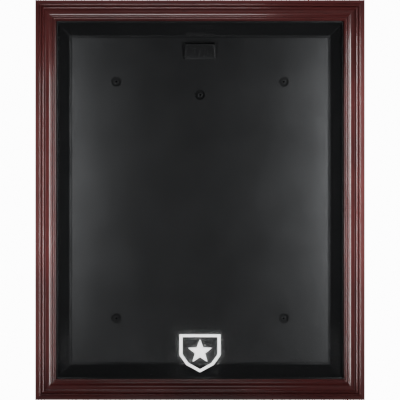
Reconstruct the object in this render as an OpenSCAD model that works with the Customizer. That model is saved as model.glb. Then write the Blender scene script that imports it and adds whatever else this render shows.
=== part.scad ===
// Wall-hung display case for a framed jersey: a glazed, mahogany-finished door
// hinged on its left edge over a one-piece moulded backing tray.
// The origin is the centre of the back plane, where the tray meets the wall.
// X runs to the right, Z up, and the door faces -Y, so "d" is a distance in front of the wall.

/* [Case] */
// Overall width of the case
case_w = 870; // [800:2:980]
// Overall height of the case
case_h = 1056; // [1000:2:1160]
// Distance from the wall to the highest ridge of the door moulding
case_depth = 76; // [72:0.5:84]

/* [Door moulding] */
// Face width of the door moulding
moulding_w = 56; // [56:0.5:60]
// Thickness of the door moulding at its ridge
moulding_t = 24; // [24:0.5:28]
// Width of the rebate that takes the window
rebate_w = 8; // [7:0.5:9]
// Depth of that rebate from the back of the moulding
rebate_depth = 12; // [11:0.5:12.5]
// Height of the outer step of the section
outer_step_h = 18; // [16:0.5:18.5]
// Radius of the outer bead
outer_bead_r = 3.2; // [2.4:0.1:3.4]
// Radius of the shoulder under the ridge
ridge_r = 5; // [4:0.25:5.5]
// Radius of the scoop between the ridge and the inner step
scoop_r = 13.5; // [12.5:0.5:14]
// Radius of the inner bead
inner_bead_r = 2.5; // [2:0.1:2.6]

/* [Window] */
// Thickness of the acrylic window
window_t = 3; // [2:0.5:3]
// Gap left round the window for expansion
window_play = 1; // [0.5:0.25:1.5]
// Width of the glazing beads behind the window
glazing_bead_w = 7.4; // [6:0.2:7.4]
// Width of the printed emblem
emblem_w = 108; // [80:2:120]
// Height of the emblem's centre, measured up from the middle of the case
emblem_z = -400; // [-404:1:-380]

/* [Backing tray] */
// Wall thickness of the moulded tray
tray_wall = 3; // [2.5:0.1:3.2]
// Inset of the tray's skirt from the edge of the door
skirt_inset = 7.5; // [7.5:0.1:8.5]
// Inset of the rim from the edge of the door
rim_inset = 60; // [59:0.5:62]
// Radius of the rim's corners
rim_corner_r = 8; // [4:0.5:12]
// Width of the steep rim band on the left and right
band_run_x = 5.5; // [4:0.5:6]
// Width of the steep rim band at the top and bottom
band_run_z = 8; // [5:0.5:8]
// Depth of the steep rim band
band_depth = 14; // [13:0.5:15]
// Width of the sloping walls, seen from the front
slope_run = 26.5; // [22:0.5:28]
// Distance from the wall to the tray's floor
floor_d = 10; // [9:0.5:11]

/* [Wall fixings] */
// Spacing of the four screw pockets across the case
pocket_span_x = 442; // [400:1:460]
// Spacing of the four screw pockets up the case
pocket_span_z = 625; // [560:1:640]
// Height of the single upper pocket above the middle of the case
top_pocket_z = 277.5; // [260:0.5:290]
// Radius of a screw pocket
pocket_r = 12.5; // [11:0.5:13]
// Radius of the raised seat inside a pocket
seat_r = 6.3; // [5:0.1:7]
// Radius of the screw hole
screw_hole_r = 2.5; // [2:0.1:3]

/* [Hanger hook] */
// Width of the moulded hook where it meets the floor
hook_w = 84; // [80:1:90]
// Height of the moulded hook's lip above its foot
hook_h = 34; // [28:0.5:36]
// How far the lip stands off the floor
hook_reach = 18; // [14:0.5:22]
// Open gap between the lip and the top of the window behind it
hook_gap = 5; // [3:0.5:8]
// Height of the hook's foot above the middle of the case
hook_z = 377; // [370:1:380]

/* [Hinges] */
// Heights of the four hinges above the middle of the case
hinge_heights = [412.5, 144.5, -175, -411];
// Length of a hinge
hinge_len = 50; // [44:1:52]
// Width of a hinge leaf, measured from the pin
leaf_w = 22; // [20:0.5:24]
// Thickness of a hinge leaf
leaf_t = 1.2; // [1:0.1:1.2]
// Outer radius of a knuckle
knuckle_r = 2.75; // [2.6:0.05:2.8]
// Radius of a hinge pin
pin_r = 1.25; // [1.1:0.05:1.3]
// Distance of the pin from the edge of the door
pin_inset = 3.5; // [3.3:0.1:3.6]

/* [Catches] */
// Height of the upper catch above the middle of the case; the lower one mirrors it
catch_z = 270; // [150:5:380]
// Length of a magnet
magnet_len = 40; // [30:1:42]

/* [Hidden] */
$fn = 48;
over = 1;                  // cuts run past faces by this much
free = 0.05;               // radial freedom of a fixed screw or pin in its hole
half_w = case_w / 2;
half_h = case_h / 2;
door_back = case_depth - moulding_t;
door_gap = 2 * leaf_t + 1.1;
flange_d = door_back - door_gap;
pin_x = -half_w + pin_inset;
pin_d = flange_d + door_gap / 2;
window_back = door_back + rebate_depth - window_t;

skirt_x = half_w - skirt_inset;
skirt_z = half_h - skirt_inset;
rim_x = half_w - rim_inset;
rim_z = half_h - rim_inset;
slope_top_x = rim_x - band_run_x;
slope_top_z = rim_z - band_run_z;
slope_d = flange_d - band_depth;
floor_x = slope_top_x - slope_run;
floor_z = slope_top_z - slope_run;
slope_wall = 1.45 * tray_wall;          // a slanted wall is this thick across
pocket_floor = 4;                       // distance from the wall to a pocket's floor
pocket_places = [
    for (x = [-1, 1], z = [-1, 1]) [x * pocket_span_x / 2, z * pocket_span_z / 2],
    [0, top_pocket_z]
];

hook_foot = 5;                          // the hook's lower face blends out this far below
batten_screw_pitch = 31.4;
batten_screw_d = flange_d - 6;
batten_screw_len = 24;
batten_seat_x = rim_x - 6 * band_run_x / band_depth + 1.2;
batten_x = skirt_x - tray_wall - 0.3;   // outer face of the batten
batten_w = 44;
batten_t = 24;
leaf_screw_x = pin_x + 0.62 * leaf_w;
leaf_screw_dz = 16.5;
screw_r = 1.4;
head_r = 2.7;
knuckle_gap = 0.6;
knuckle_len = (hinge_len - 2 * knuckle_gap) / 3;

catch_x = half_w - 33;
catch_heights = [catch_z, -catch_z];
housing_w = 14;
housing_len = magnet_len + 8;
housing_depth = 12;
housing_lip = 1.5;                      // thickness of the housing's front lip
magnet_w = 8;
magnet_t = 8;
catch_screw_dz = housing_len / 2 + 6;
strike_screw_dz = 15;

vnail_leg = 6;
vnail_t = 0.8;
vnail_depth = 10;
vnail_insets = [16, 36];                // from the outer corner, along each rail
bead_pin_r = 0.7;
bead_pin_len = 15;
bead_pin_d = door_back + 4.5;
bead_pins_across = [-0.36, 0, 0.36];    // places along a rail, as a part of its length

brown = "#4a1f1f";
black = "#1c1d1e";
steel = "#b9bbbd";

// ---- shared shapes ----

// A block given by its x range, its distances from the wall, and its z range.
module block(x, d, z) {
    translate([x[0], -d[1], z[0]]) cube([x[1] - x[0], d[1] - d[0], z[1] - z[0]]);
}

// A cylinder pointing away from the wall, from distance d0 to d1.
module stud(r, x, z, d0, d1) {
    translate([x, -d0, z]) rotate([90, 0, 0]) cylinder(r = r, h = d1 - d0);
}

// A plate with round corners, of half sizes hx and hz.
module plate(hx, hz, r, d0, d1) {
    translate([0, -d0, 0]) rotate([90, 0, 0]) linear_extrude(d1 - d0) {
        square([2 * (hx - r), 2 * hz], center = true);
        square([2 * hx, 2 * (hz - r)], center = true);
        for (x = [-1, 1], z = [-1, 1]) translate([x * (hx - r), z * (hz - r)]) circle(r = r);
    }
}

// A four-sided space whose half sizes change from (x0, z0) at d0 to (x1, z1) at d1.
module funnel(x0, z0, d0, x1, z1, d1) {
    tall = 2 * (max(z0, z1) + over);
    wide = 2 * (max(x0, x1) + over);
    intersection() {
        linear_extrude(tall, center = true)
            polygon([[-x0, -d0], [x0, -d0], [x1, -d1], [-x1, -d1]]);
        rotate([0, -90, 0]) linear_extrude(wide, center = true)
            polygon([[-z0, -d0], [z0, -d0], [z1, -d1], [-z1, -d1]]);
    }
}

// The turn that brings the top rail to each side of the door.
module to_side(side) {
    angle = side == "top" ? 0 : side == "right" ? 90 : side == "bottom" ? 180 : -90;
    reach = side == "top" || side == "bottom" ? half_h : half_w;
    rotate([0, angle, 0]) translate([0, 0, reach]) children();
}

function side_len(side) = side == "top" || side == "bottom" ? case_w : case_h;

// ---- door ----

// A straight length of the moulding along z: x is the inset from the door's outer edge,
// y the height above its back.
module moulding_bar(len) {
    shoulder_h = moulding_t - 3;
    step_h = moulding_t - 5.2;
    step_at = moulding_w - 10.5;
    rounds = [
        [14, outer_step_h + 1.4, outer_bead_r],
        [23, moulding_t - ridge_r, ridge_r],
        [moulding_w - 5.7, step_h - 1.2, inner_bead_r]
    ];
    difference() {
        union() {
            linear_extrude(len, center = true) polygon([
                [0, 0], [0, outer_step_h - 1.5], [1.5, outer_step_h], [16, outer_step_h],
                [18, moulding_t - 5], [22, moulding_t - 2], [26, moulding_t - 1],
                [step_at, shoulder_h], [step_at, step_h], [moulding_w - 5, step_h],
                [moulding_w - 1.5, rebate_depth + 4.5], [moulding_w, rebate_depth + 2.5],
                [moulding_w, 0]
            ]);
            for (c = rounds) translate([c[0], c[1], 0]) cylinder(r = c[2], h = len, center = true);
        }
        translate([35, moulding_t - 6.5 + scoop_r, 0])
            cylinder(r = scoop_r, h = len + 2 * over, center = true);
        translate([moulding_w - rebate_w, -over, -len / 2 - over])
            cube([rebate_w + over, rebate_depth + over, len + 2 * over]);
    }
}

// A rail of the door with mitred ends, its outer edge on z = 0 and its length along x.
module mitred_rail(len) {
    intersection() {
        translate([0, -door_back, 0]) rotate([180, 90, 0]) moulding_bar(len);
        translate([0, -door_back + over, 0]) rotate([90, 0, 0])
            linear_extrude(moulding_t + 2 * over) polygon([
                [-len / 2, 0], [len / 2, 0],
                [len / 2 - moulding_w, -moulding_w], [-len / 2 + moulding_w, -moulding_w]
            ]);
    }
}

// V-shaped nails pressed across the back of each mitre; "grow" turns them into their slots.
module v_nails(grow = 0) {
    leg = vnail_leg + grow;
    thick = vnail_t + 2 * grow;
    for (x = [-1, 1], z = [-1, 1], inset = vnail_insets)
        translate([x * (half_w - inset), -door_back + grow, z * (half_h - inset)])
            rotate([90, 0, 0]) linear_extrude(vnail_depth + 2 * grow) mirror([x > 0 ? 1 : 0, 0])
                mirror([0, z > 0 ? 1 : 0]) {
                    translate([-thick / 2, -thick / 2]) square([leg, thick]);
                    translate([-thick / 2, -thick / 2]) square([thick, leg]);
                }
}

// Pins through a glazing bead into the wall of the rebate, on one side of the door.
module bead_pin_row(side, grow = 0) {
    to_side(side) for (at = bead_pins_across)
        translate([at * side_len(side), -bead_pin_d, -moulding_w + rebate_w - glazing_bead_w])
            cylinder(r = bead_pin_r + grow, h = bead_pin_len + grow);
}

// Countersunk screw along Y: its head is flush with d0 and its shank ends at d1.
module flat_screw(x, z, d0, d1, grow = 0) {
    away = d1 > d0 ? 1 : -1;
    sink = head_r - screw_r;
    translate([x, -d0, z]) rotate([90 * away, 0, 0]) {
        cylinder(r1 = head_r + grow, r2 = screw_r + grow, h = sink);
        cylinder(r = screw_r + grow, h = abs(d1 - d0) + grow);
    }
}

module door_leaf_fixings(grow = 0) {
    for (h = hinge_heights, dz = [-leaf_screw_dz, 0, leaf_screw_dz])
        flat_screw(leaf_screw_x, h + dz, door_back - leaf_t, door_back + 13, grow);
}

module tray_leaf_fixings(grow = 0) {
    for (h = hinge_heights, dz = [-leaf_screw_dz / 2, leaf_screw_dz / 2])
        flat_screw(leaf_screw_x, h + dz, flange_d + leaf_t, flange_d - 19, grow);
}

module strike_fixings(grow = 0) {
    for (h = catch_heights, dz = [-strike_screw_dz, strike_screw_dz])
        flat_screw(catch_x, h + dz, door_back - leaf_t, door_back + 12, grow);
}

module door_rail(side) {
    color(brown) difference() {
        to_side(side) mitred_rail(side_len(side));
        v_nails(free);
        bead_pin_row(side, free);
        if (side == "left") {
            door_leaf_fixings(free);
            for (h = hinge_heights)
                block([-half_w - over, pin_x + knuckle_r + 1],
                    [door_back - over, pin_d + knuckle_r + 1],
                    [h - hinge_len / 2 - 2, h + hinge_len / 2 + 2]);
        }
        if (side == "right") strike_fixings(free);
    }
}

module corner_v_nails() { color(steel) v_nails(); }

module acrylic_window() {
    edge = moulding_w - rebate_w + window_play;
    color([0.9, 0.95, 1, 0.25])
        block([-half_w + edge, half_w - edge], [window_back, window_back + window_t],
            [-half_h + edge, half_h - edge]);
}

// Plain printed emblem on the front of the window: a shield outline round a star.
module window_emblem() {
    shield_w = emblem_w;
    line = shield_w * 0.07;
    star_r = shield_w * 0.3;
    function shield(w) = [
        [-w / 2, w * 0.42], [w / 2, w * 0.42], [w / 2, -w * 0.08],
        [w * 0.33, -w * 0.32], [0, -w * 0.5], [-w * 0.33, -w * 0.32], [-w / 2, -w * 0.08]
    ];
    color("white") translate([0, -window_back - window_t, emblem_z]) rotate([90, 0, 0])
        linear_extrude(0.3) {
            difference() {
                polygon(shield(shield_w));
                polygon(shield(shield_w - 2 * line));
            }
            polygon([for (i = [0:9])
                let (r = i % 2 == 0 ? star_r : star_r * 0.42)
                [r * sin(36 * i), r * cos(36 * i)]]);
        }
}

module glazing_bead(side) {
    upright = side == "left" || side == "right";
    start = moulding_w - rebate_w + 0.2;
    len = side_len(side) - 2 * start - (upright ? 2 * glazing_bead_w + 0.4 : 0);
    color(black) difference() {
        to_side(side) translate([-len / 2, -window_back, -start - glazing_bead_w])
            cube([len, rebate_depth - window_t - 0.5, glazing_bead_w]);
        bead_pin_row(side, free);
    }
}

module glazing_bead_pins() {
    color(steel) for (side = ["top", "right", "bottom", "left"]) bead_pin_row(side);
}

// ---- hinges ----

// One leaf of hinge i, drawn at its own height. The door leaf has the middle knuckle,
// the tray leaf the two outer ones, and each leaf is cut away round the other's.
module hinge_leaf(i, on_door) {
    h = hinge_heights[i - 1];
    face = on_door ? [door_back - leaf_t, door_back] : [flange_d, flange_d + leaf_t];
    half = knuckle_len / 2;
    low = -hinge_len / 2;
    own = on_door ? [[-half, half]] : [[low, low + knuckle_len], [-low - knuckle_len, -low]];
    bore = pin_r + (on_door ? free : 0.02);
    color(steel) difference() {
        union() {
            block([pin_x + knuckle_r + 0.5, pin_x + leaf_w], face, [h + low, h - low]);
            for (span = own) {
                block([pin_x, pin_x + leaf_w], face, [h + span[0], h + span[1]]);
                translate([pin_x, -pin_d, h + span[0]])
                    cylinder(r = knuckle_r, h = span[1] - span[0]);
            }
        }
        translate([pin_x, -pin_d, h + low - over]) cylinder(r = bore, h = hinge_len + 2 * over);
        if (on_door) door_leaf_fixings(free);
        if (!on_door) tray_leaf_fixings(free);
    }
}

module hinge_pin(i) {
    color(steel) translate([pin_x, -pin_d, hinge_heights[i - 1] - hinge_len / 2])
        cylinder(r = pin_r, h = hinge_len);
}

module door_leaf_screws() { color(steel) door_leaf_fixings(); }

module tray_leaf_screws() { color(steel) tray_leaf_fixings(); }

// ---- backing tray ----

// The space inside the tray: a steep rim band, then four sloping walls down to the floor.
module tray_space() {
    steep = band_depth / (band_depth + over);
    intersection() {
        funnel(slope_top_x, slope_top_z, slope_d,
            slope_top_x + band_run_x / steep, slope_top_z + band_run_z / steep, flange_d + over);
        plate(rim_x, rim_z, rim_corner_r, slope_d - over, flange_d + 2 * over);
    }
    funnel(floor_x, floor_z, floor_d, slope_top_x, slope_top_z, slope_d);
}

// The tray's body round that space, before the space is cut out.
module tray_body() {
    back_d = floor_d - tray_wall;
    difference() {
        plate(skirt_x, skirt_z, 6, 0, flange_d);
        plate(skirt_x - tray_wall, skirt_z - tray_wall, 4, -over, flange_d - tray_wall);
    }
    funnel(slope_top_x + tray_wall, slope_top_z + tray_wall, slope_d,
        rim_x + tray_wall, rim_z + tray_wall, flange_d - over);
    funnel(floor_x + slope_wall - tray_wall, floor_z + slope_wall - tray_wall, back_d,
        slope_top_x + tray_wall, slope_top_z + tray_wall, slope_d);
    for (p = pocket_places) stud(pocket_r + tray_wall, p[0], p[1], 0, floor_d - over);
    for (x = [-1, 1])
        block([x * pocket_span_x / 2 - 1.25, x * pocket_span_x / 2 + 1.25],
            [1, floor_d - over], [-floor_z, floor_z]);
    for (z = [-1, 1])
        block([-floor_x, floor_x], [1, floor_d - over],
            [z * pocket_span_z / 2 - 1.25, z * pocket_span_z / 2 + 1.25]);
    for (h = catch_heights, dz = [-catch_screw_dz, catch_screw_dz])
        stud(4, catch_x, h + dz, flange_d - 15, flange_d - over);
}

// The moulded hook: a tongue that rises from the foot of a window in the floor, with a
// gusset at each side. "shell" is how far inside the outer faces a surface lies.
module hook_form(shell) {
    front_d = floor_d + hook_reach - shell;
    foot_x = hook_w / 2 - shell;
    lip_x = hook_w / 2 - 5 - shell;
    back_d = shell > 0 ? -over : floor_d - over;
    intersection() {
        linear_extrude(4 * hook_h, center = true) polygon([
            [-foot_x, -back_d], [foot_x, -back_d], [foot_x, -floor_d],
            [lip_x, -front_d], [-lip_x, -front_d], [-foot_x, -floor_d]
        ]);
        rotate([0, -90, 0]) linear_extrude(2 * hook_w, center = true) polygon([
            [shell - hook_foot, -back_d], [shell - hook_foot, -floor_d],
            [shell * 0.8, shell * 0.6 - floor_d - 0.55 * hook_reach],
            [hook_h, -front_d], [hook_h + (shell > 0 ? hook_gap : 0), -front_d],
            [hook_h + (shell > 0 ? hook_gap : 0), -back_d]
        ]);
    }
}

// Front outline of the tongue, with round upper corners.
module hook_outline() {
    top = hook_w / 2 - 3;
    r = 7;
    translate([0, -floor_d + over, 0]) rotate([90, 0, 0]) linear_extrude(hook_reach + 2 * over) {
        polygon([
            [-hook_w / 2, -hook_foot - over], [hook_w / 2, -hook_foot - over],
            [top, hook_h - r], [top - r, hook_h], [r - top, hook_h], [-top, hook_h - r]
        ]);
        for (x = [-1, 1]) translate([x * (top - r), hook_h - r]) circle(r = r);
    }
}

// Material over each gusset's sloping top, which leaves the tongue free above it.
module gusset_trim() {
    for (x = [-1, 1]) translate([x * (hook_w / 2 + 3), 0, 0]) rotate([0, -90, 0])
        linear_extrude(2 * tray_wall + 8, center = true) polygon([
            [0.45 * hook_h, -floor_d], [hook_h - 9, -floor_d - 0.8 * hook_reach],
            [hook_h + 9, -floor_d - 0.8 * hook_reach], [hook_h + 9, -floor_d]
        ]);
}

// A low cheek down each side of the hook's window, sloping on its outer face.
module hook_cheeks() {
    foot = hook_w / 2 + 0.5;
    top_d = floor_d + 6;
    for (x = [-1, 1]) translate([0, 0, -hook_foot])
        linear_extrude(hook_foot + hook_h + hook_gap) polygon([
            [x * (foot - 6.5), 1 - floor_d], [x * foot, 1 - floor_d], [x * foot, -floor_d],
            [x * (foot - 3.7), -top_d], [x * (foot - 6.5), -top_d]
        ]);
}

module hook() {
    translate([0, 0, hook_z]) {
        difference() {
            intersection() {
                hook_form(0);
                hook_outline();
            }
            gusset_trim();
        }
        hook_cheeks();
    }
}

// Screws through the steep band on the left, in pairs beside the hinges.
module batten_fixings(grow = 0) {
    for (h = hinge_heights, dz = [-0.5, 0.5])
        translate([-batten_seat_x, -batten_screw_d, h + dz * batten_screw_pitch])
            rotate([0, -90, 0]) {
                cylinder(r = screw_r + grow, h = batten_screw_len + grow);
                translate([0, 0, -1.8 - 8 * grow]) cylinder(r = head_r + grow, h = 1.8 + 8 * grow);
            }
}

module catch_fixings(grow = 0) {
    for (h = catch_heights, dz = [-catch_screw_dz, catch_screw_dz]) {
        stud(screw_r + grow, catch_x, h + dz, flange_d - 11 - grow, flange_d + housing_lip);
        stud(head_r, catch_x, h + dz, flange_d + housing_lip, flange_d + housing_lip + 1.2);
    }
}

module backing_tray() {
    color(black) difference() {
        union() {
            difference() {
                tray_body();
                tray_space();
                for (p = pocket_places) stud(pocket_r, p[0], p[1], pocket_floor, floor_d + over);
            }
            for (p = pocket_places) stud(seat_r, p[0], p[1], pocket_floor - over, pocket_floor + 2);
            hook();
        }
        translate([0, 0, hook_z]) hook_form(tray_wall);
        for (p = pocket_places) stud(screw_hole_r, p[0], p[1], -over, floor_d);
        batten_fixings(free);
        tray_leaf_fixings(free);
        catch_fixings(free);
        for (h = catch_heights)
            block([catch_x - housing_w / 2 - 0.2, catch_x + housing_w / 2 + 0.2],
                [flange_d - tray_wall - over, flange_d + over],
                [h - housing_len / 2 - 0.2, h + housing_len / 2 + 0.2]);
    }
}

// Wooden strip inside the tray's left edge, which the hinge screws bite into.
module hinge_batten() {
    color("#b58a5a") difference() {
        block([-batten_x, -batten_x + batten_w],
            [flange_d - tray_wall - batten_t, flange_d - tray_wall],
            [-skirt_z + 30, skirt_z - 30]);
        batten_fixings(free);
        tray_leaf_fixings(free);
    }
}

module batten_screws() { color(steel) batten_fixings(); }

// ---- catches ----

module catch_housing(h) {
    side = housing_w / 2;
    end = housing_len / 2;
    lip_end = catch_screw_dz + 6;
    color(black) difference() {
        union() {
            block([catch_x - side, catch_x + side],
                [flange_d - housing_depth, flange_d + housing_lip], [h - end, h + end]);
            block([catch_x - side - 3, catch_x + side + 3],
                [flange_d, flange_d + housing_lip], [h - lip_end, h + lip_end]);
        }
        block([catch_x - magnet_w / 2, catch_x + magnet_w / 2],
            [flange_d - magnet_t, flange_d + housing_lip + over],
            [h - magnet_len / 2, h + magnet_len / 2]);
        catch_fixings(free);
    }
}

module catch_magnet(h) {
    color("#55575a")
        block([catch_x - magnet_w / 2 + 0.1, catch_x + magnet_w / 2 - 0.1],
            [flange_d - magnet_t, flange_d + housing_lip + 0.3],
            [h - magnet_len / 2 + 0.1, h + magnet_len / 2 - 0.1]);
}

module catch_screws() { color(steel) catch_fixings(); }

module strike_plate(h) {
    color(steel) difference() {
        block([catch_x - 8, catch_x + 8], [door_back - leaf_t, door_back],
            [h - magnet_len / 2 - 3, h + magnet_len / 2 + 3]);
        strike_fixings(free);
    }
}

module strike_plate_screws() { color(steel) strike_fixings(); }

door_rail("top");  // top_rail
door_rail("bottom");  // bottom_rail
door_rail("left");  // left_stile
door_rail("right");  // right_stile
corner_v_nails();
acrylic_window();
window_emblem();
glazing_bead("top");  // glazing_bead_top
glazing_bead("bottom");  // glazing_bead_bottom
glazing_bead("left");  // glazing_bead_left
glazing_bead("right");  // glazing_bead_right
glazing_bead_pins();
hinge_leaf(1, true);  // hinge_1_door_leaf
hinge_leaf(2, true);  // hinge_2_door_leaf
hinge_leaf(3, true);  // hinge_3_door_leaf
hinge_leaf(4, true);  // hinge_4_door_leaf
door_leaf_screws();
strike_plate(catch_z);  // upper_strike_plate
strike_plate(-catch_z);  // lower_strike_plate
strike_plate_screws();
backing_tray();
hinge_batten();
batten_screws();
hinge_leaf(1, false);  // hinge_1_tray_leaf
hinge_leaf(2, false);  // hinge_2_tray_leaf
hinge_leaf(3, false);  // hinge_3_tray_leaf
hinge_leaf(4, false);  // hinge_4_tray_leaf
hinge_pin(1);  // hinge_1_pin
hinge_pin(2);  // hinge_2_pin
hinge_pin(3);  // hinge_3_pin
hinge_pin(4);  // hinge_4_pin
tray_leaf_screws();
catch_housing(catch_z);  // upper_catch_housing
catch_housing(-catch_z);  // lower_catch_housing
catch_magnet(catch_z);  // upper_catch_magnet
catch_magnet(-catch_z);  // lower_catch_magnet
catch_screws();
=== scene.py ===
"""A wall-hung jersey display case: a mahogany door with a clear window, hinged on its left
edge over a black moulded backing tray. Metres; the door faces -Y and Z is up."""

import math

import bmesh
import bpy
from mathutils import Matrix, Vector


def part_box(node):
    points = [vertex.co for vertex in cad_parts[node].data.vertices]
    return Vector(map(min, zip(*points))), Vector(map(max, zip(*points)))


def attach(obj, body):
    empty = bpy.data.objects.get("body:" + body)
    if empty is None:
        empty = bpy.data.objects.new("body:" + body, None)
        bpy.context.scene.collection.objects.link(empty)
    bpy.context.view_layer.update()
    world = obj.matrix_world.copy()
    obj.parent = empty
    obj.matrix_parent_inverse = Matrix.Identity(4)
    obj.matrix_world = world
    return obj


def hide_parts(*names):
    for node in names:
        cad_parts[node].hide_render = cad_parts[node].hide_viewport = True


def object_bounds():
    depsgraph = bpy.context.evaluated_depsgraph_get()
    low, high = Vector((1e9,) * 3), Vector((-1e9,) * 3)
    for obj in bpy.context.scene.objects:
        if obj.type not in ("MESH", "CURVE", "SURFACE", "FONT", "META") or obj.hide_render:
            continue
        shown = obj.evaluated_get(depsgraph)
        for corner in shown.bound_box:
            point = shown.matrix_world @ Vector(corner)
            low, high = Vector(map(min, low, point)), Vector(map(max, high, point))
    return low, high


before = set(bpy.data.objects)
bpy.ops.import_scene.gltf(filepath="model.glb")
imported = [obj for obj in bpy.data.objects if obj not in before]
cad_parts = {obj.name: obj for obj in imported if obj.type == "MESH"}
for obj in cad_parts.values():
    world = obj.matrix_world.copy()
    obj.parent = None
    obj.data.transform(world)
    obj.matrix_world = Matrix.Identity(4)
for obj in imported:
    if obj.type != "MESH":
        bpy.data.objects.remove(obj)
cad_box = [list(corner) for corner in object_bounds()]
bpy.ops.object.select_all(action="DESELECT")

# ---- Camera ----
# Straight in front and far off, so the case fills the height of the view with no perspective.
case_low, case_high = (Vector(corner) for corner in cad_box)
case_tall = case_high.z - case_low.z
camera_distance = 36.0
sensor_w = 36.0
sensor_half_seen = 18.03
camera_data = bpy.data.cameras.new("camera")
camera_data.sensor_width = sensor_w
camera_data.lens = sensor_half_seen * camera_distance / (case_tall / 2)
camera_data.clip_end = 100.0
camera = bpy.data.objects.new("camera", camera_data)
camera.location = (0.0, case_low.y - camera_distance, 0.0)
camera.rotation_euler = (math.pi / 2, 0.0, 0.0)
bpy.context.scene.collection.objects.link(camera)
bpy.context.scene.camera = camera

# ---- Studio: background ----
# A white sweep that the camera sees, round a room that is much darker in reflections.
world = bpy.data.worlds.new("studio")
bpy.context.scene.world = world
world.use_nodes = True
world_nodes = world.node_tree.nodes
world_links = world.node_tree.links
world_nodes.clear()
world_out = world_nodes.new("ShaderNodeOutputWorld")
room = world_nodes.new("ShaderNodeBackground")
room.inputs["Color"].default_value = (0.9, 0.95, 1.0, 1.0)
room.inputs["Strength"].default_value = 0.004
sweep = world_nodes.new("ShaderNodeBackground")
sweep.inputs["Strength"].default_value = 16.0
seen = world_nodes.new("ShaderNodeLightPath")
straight = world_nodes.new("ShaderNodeMath")
straight.operation = "MAXIMUM"
bounces = world_nodes.new("ShaderNodeMath")
bounces.operation = "ADD"
unbounced = world_nodes.new("ShaderNodeMath")
unbounced.operation = "LESS_THAN"
unbounced.inputs[1].default_value = 0.5
in_view = world_nodes.new("ShaderNodeMath")
in_view.operation = "MULTIPLY"
choose = world_nodes.new("ShaderNodeMixShader")
world_links.new(seen.outputs["Is Camera Ray"], straight.inputs[0])
world_links.new(seen.outputs["Is Transmission Ray"], straight.inputs[1])
world_links.new(seen.outputs["Diffuse Depth"], bounces.inputs[0])
world_links.new(seen.outputs["Glossy Depth"], bounces.inputs[1])
world_links.new(bounces.outputs[0], unbounced.inputs[0])
world_links.new(straight.outputs[0], in_view.inputs[0])
world_links.new(unbounced.outputs[0], in_view.inputs[1])
world_links.new(in_view.outputs[0], choose.inputs["Fac"])
world_links.new(room.outputs[0], choose.inputs[1])
world_links.new(sweep.outputs[0], choose.inputs[2])
world_links.new(choose.outputs[0], world_out.inputs["Surface"])

# ---- Studio: floor ----
# The case hangs on a wall, so the pale floor is well below it. It throws no light back up
# on the case, and an overhead box of its own lights it.
floor_drop = 0.85
bpy.ops.mesh.primitive_plane_add(size=9.0, location=(0.0, -1.0, case_low.z - floor_drop))
studio_floor = bpy.context.object
studio_floor.name = "studio_floor"
floor_paint = bpy.data.materials.new("floor_paint")
floor_paint.use_nodes = True
floor_nodes = floor_paint.node_tree.nodes
floor_links = floor_paint.node_tree.links
floor_shader = floor_nodes["Principled BSDF"]
floor_shader.inputs["Base Color"].default_value = (0.86, 0.86, 0.85, 1)
floor_shader.inputs["Roughness"].default_value = 0.7
floor_shader.inputs["Emission Color"].default_value = (1, 1, 1, 1)
floor_shader.inputs["Emission Strength"].default_value = 0.9
floor_path = floor_nodes.new("ShaderNodeLightPath")
floor_bounces = floor_nodes.new("ShaderNodeMath")
floor_bounces.operation = "ADD"
floor_bounced = floor_nodes.new("ShaderNodeMath")
floor_bounced.operation = "GREATER_THAN"
floor_bounced.inputs[1].default_value = 0.5
floor_clear = floor_nodes.new("ShaderNodeBsdfTransparent")
floor_choice = floor_nodes.new("ShaderNodeMixShader")
floor_links.new(floor_path.outputs["Diffuse Depth"], floor_bounces.inputs[0])
floor_links.new(floor_path.outputs["Glossy Depth"], floor_bounces.inputs[1])
floor_links.new(floor_bounces.outputs[0], floor_bounced.inputs[0])
floor_links.new(floor_bounced.outputs[0], floor_choice.inputs["Fac"])
floor_links.new(floor_shader.outputs[0], floor_choice.inputs[1])
floor_links.new(floor_clear.outputs[0], floor_choice.inputs[2])
floor_links.new(floor_choice.outputs[0], floor_nodes["Material Output"].inputs["Surface"])
studio_floor.data.materials.append(floor_paint)
floor_lamp = bpy.data.lights.new("floor_box", "AREA")
floor_lamp.size = 3.0
floor_lamp.energy = 160.0
floor_box = bpy.data.objects.new("floor_box", floor_lamp)
floor_box.location = (0.0, -1.0, 2.4)
floor_box.visible_camera = False
lit_floor = bpy.data.collections.new("lit_by_floor_box")
lit_floor.objects.link(studio_floor)
floor_box.light_linking.receiver_collection = lit_floor
bpy.context.scene.collection.objects.link(floor_box)

# ---- Studio: wall card ----
# The patch of wall that the case covers, a near-black card that is painted shade for the wall lying
# in the case's shadow. It is seen only from in front, through the tray's holes, and is clear to any
# ray from behind.
card_gap = 0.0015
card_margin = 0.015
bpy.ops.mesh.primitive_plane_add(size=1.0, location=(0.0, card_gap, 0.0),
                                 rotation=(math.pi / 2, 0.0, 0.0))
wall_card = bpy.context.object
wall_card.name = "wall_card"
wall_card.scale = (2 * (case_high.x - card_margin), 2 * (case_high.z - card_margin), 1.0)
card_painted_shade = bpy.data.materials.new("wall_card_painted_shade")
card_painted_shade.use_nodes = True
card_nodes = card_painted_shade.node_tree.nodes
card_links = card_painted_shade.node_tree.links
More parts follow.
